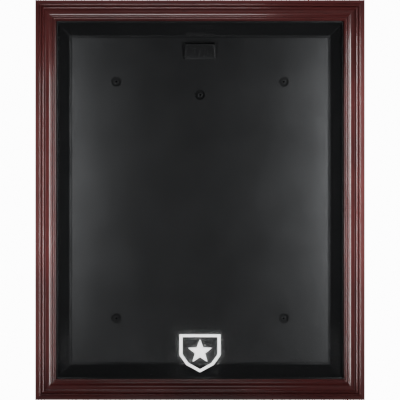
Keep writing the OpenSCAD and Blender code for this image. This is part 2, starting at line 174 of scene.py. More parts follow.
# Painted shade: the card's near-black colour stands for the wall in shadow behind the tray.
card_nodes["Principled BSDF"].inputs["Base Color"].default_value = (0.02, 0.02, 0.02, 1)
card_nodes["Principled BSDF"].inputs["Roughness"].default_value = 0.9
card_side = card_nodes.new("ShaderNodeNewGeometry")
card_clear = card_nodes.new("ShaderNodeBsdfTransparent")
card_choice = card_nodes.new("ShaderNodeMixShader")
card_links.new(card_side.outputs["Backfacing"], card_choice.inputs["Fac"])
card_links.new(card_nodes["Principled BSDF"].outputs[0], card_choice.inputs[1])
card_links.new(card_clear.outputs[0], card_choice.inputs[2])
card_links.new(card_choice.outputs[0], card_nodes["Material Output"].inputs["Surface"])
wall_card.data.materials.append(card_painted_shade)
wall_card.visible_diffuse = False
wall_card.visible_glossy = False
wall_card.visible_shadow = False

# ---- Studio: lights ----
# Door boxes rake the mouldings from both sides and above, and leave out the window and the
# tray. Tray boxes light only the tray, brightest at its edges. A low box and three boxes
# behind the case light everything. The camera doesn't see them.
lit_door = bpy.data.collections.new("lit_by_door_boxes")
lit_tray = bpy.data.collections.new("lit_by_tray_boxes")


def unlit_by(lit, item):
    """Leaves one object out of what a group of boxes lights."""
    lit.objects.link(item)
    lit.collection_objects[-1].light_linking.link_state = "EXCLUDE"


# Name, place, size, watts, spread in degrees, how far out it aims, and what it lights.
soft_boxes = [
    ("door_left_upper", (-0.78, -0.60, 0.10), (0.16, 0.5), 0.95, 80, 0.52, lit_door),
    ("door_left_lower", (-0.78, -0.60, -0.30), (0.16, 0.45), 0.9, 80, 0.52, lit_door),
    ("door_right_upper", (0.78, -0.60, 0.22), (0.16, 0.45), 1.6, 80, 0.52, lit_door),
    ("door_right_lower", (0.78, -0.60, -0.26), (0.16, 0.45), 1.2, 80, 0.52, lit_door),
    ("door_top", (-0.12, -0.60, 0.86), (0.6, 0.14), 1.3, 120, 0.52, lit_door),
    ("tray_left_middle", (-0.60, -0.95, 0.08), (0.14, 0.70), 12.0, 180, 0.3, lit_tray),
    ("tray_left_lower", (-0.62, -0.90, -0.45), (0.16, 0.5), 2.0, 180, 0.3, lit_tray),
    ("tray_right_middle", (0.60, -0.95, 0.08), (0.14, 0.74), 17.5, 180, 0.3, lit_tray),
    ("tray_right_lower", (0.62, -0.90, -0.45), (0.16, 0.5), 3.0, 180, 0.3, lit_tray),
    ("low_box", (0.0, -1.50, -0.80), (0.5, 0.4), 1.0, 180, 0.3, None),
    ("back_left_box", (-0.60, 1.60, 0.45), (0.5, 1.0), 30.0, 180, 0.0, None),
    ("back_right_box", (0.60, 1.60, -0.10), (0.5, 1.0), 24.0, 180, 0.0, None),
    ("back_top_box", (0.0, 1.30, 1.30), (1.0, 0.5), 24.0, 180, 0.0, None),
]
for name, place, size, watts, spread, aim_part, lit in soft_boxes:
    lamp = bpy.data.lights.new(name, "AREA")
    lamp.shape = "RECTANGLE"
    lamp.size, lamp.size_y = size
    lamp.energy = watts
    lamp.spread = math.radians(spread)
    stand = bpy.data.objects.new(name, lamp)
    stand.location = place
    aim = Vector((aim_part * place[0], 0.0, 0.6 * place[2])) - stand.location
    stand.rotation_euler = aim.to_track_quat("-Z", "Y").to_euler()
    stand.visible_camera = False
    if lit:
        stand.light_linking.receiver_collection = lit
    bpy.context.scene.collection.objects.link(stand)

# ---- Door moulding ----
# Four lengths of one stained and lacquered hardwood moulding, mitred at the corners. The
# section runs from a square outer step over a bead, a ridge and a scoop to an inner bead.
mould_t = 0.024
door_back = -(case_low.y + mould_t)


def arc(cx, cy, r, start, stop, steps):
    """Points round (cx, cy) from one angle to another, in degrees, in millimetres."""
    turns = [math.radians(start + (stop - start) * i / steps) for i in range(steps + 1)]
    return [(cx + r * math.cos(a), cy + r * math.sin(a)) for a in turns]


# Inset from the outer edge against height above the back, in millimetres.
moulding_section = (
    [(0.0, 0.0)]
    + arc(1.6, 16.4, 1.6, 180, 90, 5)
    + arc(10.4, 19.0, 1.0, -90, -20, 3)
    + arc(14.0, 19.4, 3.2, 170, 0, 14)
    + arc(18.0, 19.6, 0.7, 200, 300, 4)
    + arc(23.0, 19.0, 5.0, 172, 86, 10)
    + arc(35.0, 31.0, 13.5, 213.5, 311.0, 16)
    + arc(44.9, 20.4, 0.7, 95, 0, 4)
    + arc(46.3, 19.3, 0.6, 180, 270, 3)
    + arc(50.3, 17.6, 2.5, 150, 10, 10)
    + arc(54.4, 15.2, 1.6, 75, 0, 5)
    + [(56.0, 12.0), (48.0, 12.0), (48.0, 0.0)]
)

# The moulding's outline is drawn by pulling one point along the section, then filled and
# pulled out to a bar that is longer than any rail.
bar_len = case_tall + 0.1
bpy.ops.mesh.primitive_plane_add(size=0.01)
bar = bpy.context.object
bar.name = "moulding_bar"
bpy.ops.object.mode_set(mode="EDIT")
bpy.ops.mesh.select_all(action="SELECT")
bpy.ops.mesh.merge(type="CENTER")
bpy.ops.transform.translate(value=(-bar_len / 2, -door_back, 0.0))
previous = moulding_section[0]
for point in moulding_section[1:]:
    step = (0.0, -(point[1] - previous[1]) / 1000, -(point[0] - previous[0]) / 1000)
    bpy.ops.mesh.extrude_vertices_move(TRANSFORM_OT_translate={"value": step})
    previous = point
bpy.ops.mesh.select_all(action="SELECT")
bpy.ops.mesh.edge_face_add()
bpy.ops.mesh.extrude_region_move(TRANSFORM_OT_translate={"value": (bar_len, 0.0, 0.0)})
bpy.ops.mesh.select_all(action="SELECT")
bpy.ops.mesh.normals_make_consistent(inside=False)
bpy.ops.object.mode_set(mode="OBJECT")

def new_finish(name):
    """An empty material of that name with one Principled shader, and its node tree."""
    finish = bpy.data.materials.new(name)
    finish.use_nodes = True
    return finish, finish.node_tree, finish.node_tree.nodes["Principled BSDF"]


def join_nodes(tree, *pairs):
    """Links outputs to inputs; each pair is (socket, socket)."""
    for start, stop in pairs:
        tree.links.new(start, stop)


# The stained grain: long streaks along X, darker pores in them, and a wash of lighter and darker
# stain. The colour is made darker in grooves and a little paler on the high ridges.
grain = bpy.data.node_groups.new("stained_grain", "ShaderNodeTree")
grain.interface.new_socket("Vector", in_out="INPUT", socket_type="NodeSocketVector")
grain.interface.new_socket("Dark", in_out="INPUT", socket_type="NodeSocketColor")
grain.interface.new_socket("Light", in_out="INPUT", socket_type="NodeSocketColor")
grain.interface.new_socket("Streaks", in_out="INPUT", socket_type="NodeSocketFloat")
grain.interface.new_socket("Color", in_out="OUTPUT", socket_type="NodeSocketColor")
grain.interface.new_socket("Roughness", in_out="OUTPUT", socket_type="NodeSocketFloat")
grain.interface.new_socket("Height", in_out="OUTPUT", socket_type="NodeSocketFloat")
grain_in = grain.nodes.new("NodeGroupInput")
grain_out = grain.nodes.new("NodeGroupOutput")
long_way = grain.nodes.new("ShaderNodeMapping")
long_way.inputs["Scale"].default_value = (2.2, 60.0, 60.0)
streaks = grain.nodes.new("ShaderNodeTexNoise")
streaks.inputs["Detail"].default_value = 6.0
streaks.inputs["Roughness"].default_value = 0.62
streaks.inputs["Distortion"].default_value = 0.12
pore_way = grain.nodes.new("ShaderNodeMapping")
pore_way.inputs["Scale"].default_value = (40.0, 900.0, 900.0)
pores = grain.nodes.new("ShaderNodeTexNoise")
pores.inputs["Scale"].default_value = 1.0
pores.inputs["Detail"].default_value = 3.0
pore_cut = grain.nodes.new("ShaderNodeMapRange")
pore_cut.inputs["From Min"].default_value = 0.56
pore_cut.inputs["From Max"].default_value = 0.70
wash = grain.nodes.new("ShaderNodeTexNoise")
wash.inputs["Scale"].default_value = 5.0
wash.inputs["Detail"].default_value = 2.0
blend = grain.nodes.new("ShaderNodeMath")
blend.operation = "MULTIPLY_ADD"
blend.inputs[1].default_value = 0.7
streak_cut = grain.nodes.new("ShaderNodeMapRange")
streak_cut.inputs["From Min"].default_value = 0.50
streak_cut.inputs["From Max"].default_value = 1.02
stain = grain.nodes.new("ShaderNodeMix")
stain.data_type = "RGBA"
hollows = grain.nodes.new("ShaderNodeNewGeometry")
hollow_cut = grain.nodes.new("ShaderNodeMapRange")
hollow_cut.inputs["From Min"].default_value = 0.44
hollow_cut.inputs["From Max"].default_value = 0.56
hollow_cut.inputs["To Min"].default_value = 0.62
hollow_cut.inputs["To Max"].default_value = 1.18
# Scales the colour by pointiness: darker in the grooves, a little paler on the ridges.
groove_ridge_scaled = grain.nodes.new("ShaderNodeVectorMath")
groove_ridge_scaled.operation = "SCALE"
pored = grain.nodes.new("ShaderNodeMix")
pored.data_type = "RGBA"
pored.inputs["B"].default_value = (0.006, 0.0015, 0.0015, 1.0)
pore_dark = grain.nodes.new("ShaderNodeMath")
pore_dark.operation = "MULTIPLY"
pore_dark.inputs[1].default_value = 0.65
rough = grain.nodes.new("ShaderNodeMapRange")
rough.inputs["To Min"].default_value = 0.42
rough.inputs["To Max"].default_value = 0.56
height = grain.nodes.new("ShaderNodeMath")
height.operation = "MULTIPLY_ADD"
height.inputs[1].default_value = -1.0
join_nodes(
    grain,
    (grain_in.outputs["Vector"], long_way.inputs["Vector"]),
    (grain_in.outputs["Vector"], pore_way.inputs["Vector"]),
    (grain_in.outputs["Vector"], wash.inputs["Vector"]),
    (long_way.outputs[0], streaks.inputs["Vector"]),
    (grain_in.outputs["Streaks"], streaks.inputs["Scale"]),
    (pore_way.outputs[0], pores.inputs["Vector"]),
    (pores.outputs["Fac"], pore_cut.inputs["Value"]),
    (wash.outputs["Fac"], blend.inputs[0]),
    (streaks.outputs["Fac"], blend.inputs[2]),
    (blend.outputs[0], streak_cut.inputs["Value"]),
    (streak_cut.outputs[0], stain.inputs["Factor"]),
    (grain_in.outputs["Dark"], stain.inputs["A"]),
    (grain_in.outputs["Light"], stain.inputs["B"]),
    (hollows.outputs["Pointiness"], hollow_cut.inputs["Value"]),
    (stain.outputs["Result"], groove_ridge_scaled.inputs[0]),
    (hollow_cut.outputs[0], groove_ridge_scaled.inputs["Scale"]),
    (pore_cut.outputs[0], pore_dark.inputs[0]),
    (pore_dark.outputs[0], pored.inputs["Factor"]),
    (groove_ridge_scaled.outputs[0], pored.inputs["A"]),
    (pored.outputs["Result"], grain_out.inputs["Color"]),
    (wash.outputs["Fac"], rough.inputs["Value"]),
    (rough.outputs[0], grain_out.inputs["Roughness"]),
    (pore_cut.outputs[0], height.inputs[0]),
    (streaks.outputs["Fac"], height.inputs[2]),
    (height.outputs[0], grain_out.inputs["Height"]),
)


def mahogany(name, turn):
    """Lacquered mahogany whose grain runs along X once turned by that angle about Y."""
    finish, tree, shader = new_finish(name)
    place = tree.nodes.new("ShaderNodeTexCoord")
    along = tree.nodes.new("ShaderNodeMapping")
    along.inputs["Rotation"].default_value = (0.0, turn, 0.0)
    wood = tree.nodes.new("ShaderNodeGroup")
    wood.node_tree = grain
    wood.inputs["Dark"].default_value = (0.030, 0.0042, 0.0045, 1.0)
    wood.inputs["Light"].default_value = (0.095, 0.0150, 0.0150, 1.0)
    wood.inputs["Streaks"].default_value = 0.4
    bump = tree.nodes.new("ShaderNodeBump")
    bump.inputs["Strength"].default_value = 0.02
    bump.inputs["Distance"].default_value = 0.0002
    shader.inputs["IOR"].default_value = 1.5
    shader.inputs["Coat Weight"].default_value = 0.9
    shader.inputs["Coat Roughness"].default_value = 0.15
    shader.inputs["Specular IOR Level"].default_value = 0.3
    join_nodes(
        tree,
        (place.outputs["Object"], along.inputs["Vector"]),
        (along.outputs[0], wood.inputs["Vector"]),
        (wood.outputs["Color"], shader.inputs["Base Color"]),
        (wood.outputs["Roughness"], shader.inputs["Roughness"]),
        (wood.outputs["Height"], bump.inputs["Height"]),
        (bump.outputs[0], shader.inputs["Normal"]),
    )
    return finish


def round_shading(item, degrees):
    """Smooth shading over gentle edges, with flat faces kept flat."""
    bpy.ops.object.select_all(action="DESELECT")
    item.select_set(True)
    bpy.context.view_layer.objects.active = item
    bpy.ops.object.shade_smooth_by_angle(angle=math.radians(degrees))
    even = item.modifiers.new("even", "WEIGHTED_NORMAL")
    even.weight = 100
    even.keep_sharp = True
    bpy.ops.object.modifier_apply(modifier=even.name)


rail_finish = {
    0: mahogany("mahogany_rail", 0.0),
    1: mahogany("mahogany_stile", math.pi / 2),
}

half_w = case_high.x
half_h = case_high.z
sides = [
    ("top_rail", 0, half_h, half_w),
    ("right_stile", 90, half_w, half_h),
    ("bottom_rail", 180, half_h, half_w),
    ("left_stile", 270, half_w, half_h),
]
for name, turn, reach, half_len in sides:
    rail = bar.copy()
    rail.data = bar.data.copy()
    rail.name = name + "_wood"
    bpy.context.scene.collection.objects.link(rail)
    bpy.ops.object.select_all(action="DESELECT")
    bpy.context.view_layer.objects.active = rail
    rail.select_set(True)
    bpy.ops.object.mode_set(mode="EDIT")
    for end in (-1, 1):
        bpy.ops.mesh.select_all(action="SELECT")
        bpy.ops.mesh.bisect(
            plane_co=(end * half_len, 0.0, 0.0), plane_no=(end, 0.0, -1.0),
            use_fill=True, clear_outer=True)
    bpy.ops.object.mode_set(mode="OBJECT")
    rail.location = (0.0, 0.0, 0.0)
    rail.data.transform(rail.matrix_world)
    for vertex in rail.data.vertices:
        x, y, z = vertex.co.x, vertex.co.y, vertex.co.z + reach
        a = math.radians(turn)
        vertex.co = (x * math.cos(a) + z * math.sin(a), y, z * math.cos(a) - x * math.sin(a))
    round_shading(rail, 38)
    rail.data.materials.append(rail_finish[turn // 90 % 2])
    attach(rail, "door")
    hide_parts(name)
bpy.data.objects.remove(bar)

# ---- Window ----
# A sheet of clear cast acrylic that drops into the rebate from behind. It carries a few fine
# wiping scuffs, and light passes through it to the tray.
acrylic, acrylic_tree, acrylic_shader = new_finish("clear_acrylic")
acrylic_shader.inputs["Base Color"].default_value = (0.985, 0.99, 0.995, 1.0)
acrylic_shader.inputs["Transmission Weight"].default_value = 1.0
acrylic_shader.inputs["IOR"].default_value = 1.2
acrylic_place = acrylic_tree.nodes.new("ShaderNodeTexCoord")
scuffs = acrylic_tree.nodes.new("ShaderNodeTexNoise")
scuffs.inputs["Scale"].default_value = 7.0
scuffs.inputs["Detail"].default_value = 6.0
scuff_cut = acrylic_tree.nodes.new("ShaderNodeMapRange")
scuff_cut.inputs["From Min"].default_value = 0.45
scuff_cut.inputs["From Max"].default_value = 0.75
scuff_cut.inputs["To Min"].default_value = 0.015
scuff_cut.inputs["To Max"].default_value = 0.025
in_shadow = acrylic_tree.nodes.new("ShaderNodeLightPath")
let_through = acrylic_tree.nodes.new("ShaderNodeBsdfTransparent")
let_through.inputs["Color"].default_value = (0.93, 0.94, 0.95, 1.0)
shade_or_clear = acrylic_tree.nodes.new("ShaderNodeMixShader")
acrylic_out = acrylic_tree.nodes["Material Output"]
join_nodes(
    acrylic_tree,
    (acrylic_place.outputs["Object"], scuffs.inputs["Vector"]),
    (scuffs.outputs["Fac"], scuff_cut.inputs["Value"]),
    (scuff_cut.outputs[0], acrylic_shader.inputs["Roughness"]),
    (in_shadow.outputs["Is Shadow Ray"], shade_or_clear.inputs["Fac"]),
    (acrylic_shader.outputs[0], shade_or_clear.inputs[1]),
    (let_through.outputs[0], shade_or_clear.inputs[2]),
    (shade_or_clear.outputs[0], acrylic_out.inputs["Surface"]),
)


def give_finish(node, finish):
    """Puts a finish on a CAD piece whose shape is kept."""
    piece = bpy.data.objects[node]
    if not piece.material_slots:
        piece.data.materials.append(finish)
    for holder in piece.material_slots:
        holder.material = finish


give_finish("acrylic_window", acrylic)
unlit_by(lit_door, bpy.data.objects["acrylic_window"])

# ---- Emblem ----
# A shield outline round a star, screen printed in white ink on the face of the window. The ink is
# opaque, slightly matt and a touch uneven where the screen left it thin. It is also made to glow, a
# painted brightness that keeps it near pure white.
ink, ink_tree, ink_shader = new_finish("emblem_ink")
ink_place = ink_tree.nodes.new("ShaderNodeTexCoord")
ink_flow = ink_tree.nodes.new("ShaderNodeTexNoise")
ink_flow.inputs["Scale"].default_value = 260.0
ink_flow.inputs["Detail"].default_value = 3.0
ink_tone = ink_tree.nodes.new("ShaderNodeMix")
ink_tone.data_type = "RGBA"
ink_tone.inputs["A"].default_value = (0.86, 0.86, 0.85, 1.0)
ink_tone.inputs["B"].default_value = (0.96, 0.96, 0.95, 1.0)
ink_rough = ink_tree.nodes.new("ShaderNodeMapRange")
ink_rough.inputs["To Min"].default_value = 0.38
ink_rough.inputs["To Max"].default_value = 0.60
ink_bump = ink_tree.nodes.new("ShaderNodeBump")
ink_bump.inputs["Strength"].default_value = 0.10
ink_bump.inputs["Distance"].default_value = 0.0002
# Painted glow: the ink emits light of its own, so it reads bright white however it is lit.
ink_shader.inputs["Emission Color"].default_value = (1.0, 1.0, 1.0, 1.0)
ink_shader.inputs["Emission Strength"].default_value = 2.0
join_nodes(
    ink_tree,
    (ink_place.outputs["Object"], ink_flow.inputs["Vector"]),
    (ink_flow.outputs["Fac"], ink_tone.inputs["Factor"]),
    (ink_tone.outputs["Result"], ink_shader.inputs["Base Color"]),
    (ink_flow.outputs["Fac"], ink_rough.inputs["Value"]),
    (ink_rough.outputs[0], ink_shader.inputs["Roughness"]),
    (ink_flow.outputs["Fac"], ink_bump.inputs["Height"]),
    (ink_bump.outputs[0], ink_shader.inputs["Normal"]),
)
give_finish("window_emblem", ink)

# ---- Glazing beads ----
# Black extruded plastic strips behind the window, each held by three steel pins driven
# through it into the wall of the rebate.
wear = bpy.data.node_groups.new("handling_wear", "ShaderNodeTree")
wear.interface.new_socket("Vector", in_out="INPUT", socket_type="NodeSocketVector")
wear.interface.new_socket("Color", in_out="INPUT", socket_type="NodeSocketColor")
wear.interface.new_socket("Worn", in_out="INPUT", socket_type="NodeSocketColor")
wear.interface.new_socket("Smooth", in_out="INPUT", socket_type="NodeSocketFloat")
wear.interface.new_socket("Rough", in_out="INPUT", socket_type="NodeSocketFloat")
wear.interface.new_socket("Grain", in_out="INPUT", socket_type="NodeSocketFloat")
wear.interface.new_socket("Color", in_out="OUTPUT", socket_type="NodeSocketColor")
wear.interface.new_socket("Roughness", in_out="OUTPUT", socket_type="NodeSocketFloat")
wear.interface.new_socket("Height", in_out="OUTPUT", socket_type="NodeSocketFloat")
wear_in = wear.nodes.new("NodeGroupInput")
wear_out = wear.nodes.new("NodeGroupOutput")
smears = wear.nodes.new("ShaderNodeTexNoise")
smears.inputs["Scale"].default_value = 11.0
smears.inputs["Detail"].default_value = 5.0
smears.inputs["Roughness"].default_value = 0.6
edges = wear.nodes.new("ShaderNodeNewGeometry")
edge_cut = wear.nodes.new("ShaderNodeMapRange")
edge_cut.inputs["From Min"].default_value = 0.53
edge_cut.inputs["From Max"].default_value = 0.62
edge_cut.inputs["To Max"].default_value = 0.7
edge_break = wear.nodes.new("ShaderNodeMath")
edge_break.operation = "MULTIPLY"
worn_tone = wear.nodes.new("ShaderNodeMix")
worn_tone.data_type = "RGBA"
smear_rough = wear.nodes.new("ShaderNodeMapRange")
smear_rough.inputs["From Min"].default_value = 0.3
smear_rough.inputs["From Max"].default_value = 0.7
speckle = wear.nodes.new("ShaderNodeTexNoise")
speckle.inputs["Detail"].default_value = 2.0
join_nodes(
    wear,
    (wear_in.outputs["Vector"], smears.inputs["Vector"]),
    (wear_in.outputs["Vector"], speckle.inputs["Vector"]),
    (wear_in.outputs["Grain"], speckle.inputs["Scale"]),
    (edges.outputs["Pointiness"], edge_cut.inputs["Value"]),
    (edge_cut.outputs[0], edge_break.inputs[0]),
    (smears.outputs["Fac"], edge_break.inputs[1]),
    (edge_break.outputs[0], worn_tone.inputs["Factor"]),
    (wear_in.outputs["Color"], worn_tone.inputs["A"]),
    (wear_in.outputs["Worn"], worn_tone.inputs["B"]),
    (worn_tone.outputs["Result"], wear_out.inputs["Color"]),
    (smears.outputs["Fac"], smear_rough.inputs["Value"]),
    (wear_in.outputs["Smooth"], smear_rough.inputs["To Min"]),
    (wear_in.outputs["Rough"], smear_rough.inputs["To Max"]),
    (smear_rough.outputs[0], wear_out.inputs["Roughness"]),
    (speckle.outputs["Fac"], wear_out.inputs["Height"]),
)


def worn_finish(name, color, worn, smooth, rough, grain_scale, bump_strength, metallic=0.0):
    """Plastic or metal with smears in its gloss, paler edges and a fine grain."""
    finish, tree, shader = new_finish(name)
    place = tree.nodes.new("ShaderNodeTexCoord")
    used = tree.nodes.new("ShaderNodeGroup")
    used.node_tree = wear
    used.inputs["Color"].default_value = (*color, 1.0)
    used.inputs["Worn"].default_value = (*worn, 1.0)
    used.inputs["Smooth"].default_value = smooth
    used.inputs["Rough"].default_value = rough
    used.inputs["Grain"].default_value = grain_scale
    bump = tree.nodes.new("ShaderNodeBump")
    bump.name = "grain_bump"
    bump.inputs["Strength"].default_value = bump_strength
    bump.inputs["Distance"].default_value = 0.0004
    shader.inputs["Metallic"].default_value = metallic
    join_nodes(
        tree,
        (place.outputs["Object"], used.inputs["Vector"]),
        (used.outputs["Color"], shader.inputs["Base Color"]),
        (used.outputs["Roughness"], shader.inputs["Roughness"]),
        (used.outputs["Height"], bump.inputs["Height"]),
        (bump.outputs[0], shader.inputs["Normal"]),
    )
    return finish


bead_plastic = worn_finish("bead_plastic", (0.012, 0.012, 0.013), (0.05, 0.05, 0.05),
                           0.34, 0.5, 900.0, 0.25)
zinc = worn_finish("zinc_steel", (0.55, 0.56, 0.58), (0.75, 0.76, 0.78), 0.28, 0.48,
                   700.0, 0.12, metallic=1.0)
for side in ("top", "bottom", "left", "right"):
    give_finish("glazing_bead_" + side, bead_plastic)
give_finish("glazing_bead_pins", zinc)

# ---- Mitre nails ----
# Zinc-plated V-shaped nails, two pressed into the back of each mitre to hold it shut.
give_finish("corner_v_nails", zinc)

# ---- Backing tray ----
# One black injection moulding: a pebbled floor with four sloping walls, a steep band up to
# the rim, a flat flange that the door shuts on, and a skirt back to the wall.
tray_wall = 0.003
floor_x, floor_z, floor_d = 0.343, 0.4335, 0.010
slope_run = 0.0265
band_x, band_z, band_t = 0.0055, 0.008, 0.014
tray_low, tray_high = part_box("backing_tray")
flange_d = -tray_low.y
rim_x = floor_x + slope_run + band_x
rim_z = floor_z + slope_run + band_z
tray_rings = [
    (floor_x + slope_run, floor_z + slope_run, flange_d - band_t),
    (rim_x, rim_z, flange_d),
    (tray_high.x, tray_high.z, flange_d),
    (tray_high.x, tray_high.z, 0.0),
]


def select_only(*items):
    """These objects are selected, the first is active, and nothing else is."""
    bpy.ops.object.select_all(action="DESELECT")
    for item in items:
        item.select_set(True)
    bpy.context.view_layer.objects.active = items[0]


def pick(kind, test):
    """In edit mode, selects the edges or faces whose middle passes the test."""
    bpy.ops.mesh.select_mode(type=kind)
    bpy.ops.mesh.select_all(action="DESELECT")
    shape = bmesh.from_edit_mesh(bpy.context.object.data)
    for part in shape.edges if kind == "EDGE" else shape.faces:
        middle = Vector()
        for corner in part.verts:
            middle += corner.co / len(part.verts)
        part.select_set(test(middle, part))
    bmesh.update_edit_mesh(bpy.context.object.data)


def settle(item):
    """Leaves the object at the origin, with its place and turn in its mesh."""
    bpy.context.view_layer.update()
    item.data.transform(item.matrix_world)
    item.matrix_world.identity()


def block(low, high, cuts=()):
    """A box between two corners given as x, d, z, sliced by planes of (point, normal)."""
    bpy.ops.object.select_all(action="DESELECT")
    bpy.ops.mesh.primitive_cube_add(size=1.0)
    item = bpy.context.object
    item.scale = (high[0] - low[0], high[1] - low[1], high[2] - low[2])
    item.location = ((low[0] + high[0]) / 2, -(low[1] + high[1]) / 2, (low[2] + high[2]) / 2)
    settle(item)
    bpy.ops.object.mode_set(mode="EDIT")
    for (x, d, z), normal in cuts:
        bpy.ops.mesh.select_all(action="SELECT")
        bpy.ops.mesh.bisect(plane_co=(x, -d, z), plane_no=Vector(normal).normalized(),
                            use_fill=True, clear_outer=True, threshold=1e-6)
    bpy.ops.object.mode_set(mode="OBJECT")
    return item


def stud(r, x, z, d0, d1, flare=0.0, sides=40):
    """A cylinder from d0 to d1, whose front half millimetre opens out by flare."""
    bpy.ops.object.select_all(action="DESELECT")
    bpy.ops.mesh.primitive_cylinder_add(
        radius=r, depth=d1 - d0, vertices=sides, location=(x, -(d0 + d1) / 2, z),
        rotation=(math.pi / 2, 0.0, 0.0))
    item = bpy.context.object
    settle(item)
    if flare:
        bpy.ops.object.mode_set(mode="EDIT")
        for grow in (0.35, 0.65):
            pick("FACE", lambda middle, face: abs(middle.y + d1) < 1e-5 and len(face.verts) > 4)
            bpy.ops.mesh.extrude_region_move(
                TRANSFORM_OT_translate={"value": (0.0, -abs(flare) * (0.9 - grow), 0.0)})
            d1 += abs(flare) * (0.9 - grow)
            wide = 1 + flare * grow / r
            bpy.ops.transform.resize(value=(wide, 1.0, wide), center_override=(x, 0.0, z))
        bpy.ops.object.mode_set(mode="OBJECT")
    return item


def join_up(items):
    """Makes one object of several that don't touch."""
    select_only(*items)
    bpy.ops.object.join()
    return bpy.context.object


def combine(item, tool, operation):
    """Adds a tool shape to the object or cuts it out, and throws the tool away."""
    select_only(item)
    boolean = item.modifiers.new("combine", "BOOLEAN")
    boolean.operation = operation
    boolean.solver = "EXACT"
    boolean.object = tool
    bpy.ops.object.modifier_apply(modifier=boolean.name)
    bpy.data.objects.remove(tool)


tray_satin = worn_finish("tray_satin", (0.005, 0.005, 0.0051), (0.04, 0.04, 0.04),
                         0.17, 0.23, 1400.0, 0.05)

# The floor's pebble grain: rounded cells about a millimetre across, uneven in size. Each cell is a
# little lighter on its raised middle and darker towards the hollows round it, which is painted shade
# between the pebbles.
tray_pebble, pebble_tree, pebble_shader = new_finish("tray_pebble")
pebble_place = pebble_tree.nodes.new("ShaderNodeTexCoord")
pebble_cells = pebble_tree.nodes.new("ShaderNodeTexVoronoi")
pebble_cells.feature = "SMOOTH_F1"
pebble_cells.inputs["Scale"].default_value = 380.0
pebble_cells.inputs["Smoothness"].default_value = 0.35
pebble_lumps = pebble_tree.nodes.new("ShaderNodeTexNoise")
pebble_lumps.inputs["Scale"].default_value = 300.0
pebble_lumps.inputs["Detail"].default_value = 2.0
pebble_height = pebble_tree.nodes.new("ShaderNodeMath")
pebble_height.operation = "MULTIPLY_ADD"
pebble_height.inputs[1].default_value = -0.9
pebble_bump = pebble_tree.nodes.new("ShaderNodeBump")
pebble_bump.inputs["Strength"].default_value = 0.22
pebble_bump.inputs["Distance"].default_value = 0.0006
pebble_smears = pebble_tree.nodes.new("ShaderNodeTexNoise")
pebble_smears.inputs["Scale"].default_value = 9.0
pebble_smears.inputs["Detail"].default_value = 5.0
pebble_rough = pebble_tree.nodes.new("ShaderNodeMapRange")
pebble_rough.inputs["From Min"].default_value = 0.3
pebble_rough.inputs["From Max"].default_value = 0.7
pebble_rough.inputs["To Min"].default_value = 0.215
pebble_rough.inputs["To Max"].default_value = 0.240
pebble_shader.inputs["Specular IOR Level"].default_value = 0.75
# Painted shade: the colour darkens from each cell's middle out to its low edge.
pebble_hollow_shade = pebble_tree.nodes.new("ShaderNodeMix")
pebble_hollow_shade.data_type = "RGBA"
pebble_hollow_shade.inputs["A"].default_value = (0.0065, 0.0065, 0.0066, 1.0)
pebble_hollow_shade.inputs["B"].default_value = (0.0035, 0.0035, 0.0036, 1.0)
join_nodes(
    pebble_tree,
    (pebble_place.outputs["Object"], pebble_cells.inputs["Vector"]),
    (pebble_place.outputs["Object"], pebble_lumps.inputs["Vector"]),
    (pebble_place.outputs["Object"], pebble_smears.inputs["Vector"]),
    (pebble_cells.outputs["Distance"], pebble_height.inputs[0]),
    (pebble_lumps.outputs["Fac"], pebble_height.inputs[2]),
    (pebble_height.outputs[0], pebble_bump.inputs["Height"]),
    (pebble_bump.outputs[0], pebble_shader.inputs["Normal"]),
    (pebble_smears.outputs["Fac"], pebble_rough.inputs["Value"]),
    (pebble_rough.outputs[0], pebble_shader.inputs["Roughness"]),
    (pebble_cells.outputs["Distance"], pebble_hollow_shade.inputs["Factor"]),
    (pebble_hollow_shade.outputs["Result"], pebble_shader.inputs["Base Color"]),
)

# The tray's inner face is pulled out ring by ring from a plane, then given its wall.
bpy.ops.object.select_all(action="DESELECT")
bpy.ops.mesh.primitive_plane_add(size=1.0, rotation=(math.pi / 2, 0.0, 0.0))
tray = bpy.context.object
tray.name = "moulded_tray"
settle(tray)
bpy.ops.object.mode_set(mode="EDIT")
bpy.ops.mesh.select_all(action="SELECT")
bpy.ops.transform.resize(value=(2 * floor_x, 1.0, 2 * floor_z), center_override=(0, 0, 0))
bpy.ops.transform.translate(value=(0.0, -floor_d, 0.0))
bpy.ops.mesh.select_mode(type="EDGE")
bpy.ops.mesh.select_all(action="SELECT")
ring_x, ring_z, ring_d = floor_x, floor_z, floor_d
for x, z, d in tray_rings:
    bpy.ops.mesh.extrude_edges_move(TRANSFORM_OT_translate={"value": (0.0, ring_d - d, 0.0)})
    bpy.ops.transform.resize(value=(x / ring_x, 1.0, z / ring_z), center_override=(0, 0, 0))
    ring_x, ring_z, ring_d = x, z, d
bpy.ops.mesh.select_all(action="SELECT")
bpy.ops.mesh.normals_make_consistent(inside=False)

# Blends along every crease inside the rim, then round the flange and down the skirt.
pick("EDGE", lambda middle, edge: abs(middle.x) < rim_x + 1e-5 and abs(middle.z) < rim_z + 1e-5)
bpy.ops.mesh.bevel(offset=0.0022, segments=5)
pick("EDGE", lambda middle, edge: middle.y < -1e-5
     and (abs(middle.x) > tray_high.x - 1e-5 or abs(middle.z) > tray_high.z - 1e-5))
bpy.ops.mesh.bevel(offset=0.0035, segments=5)

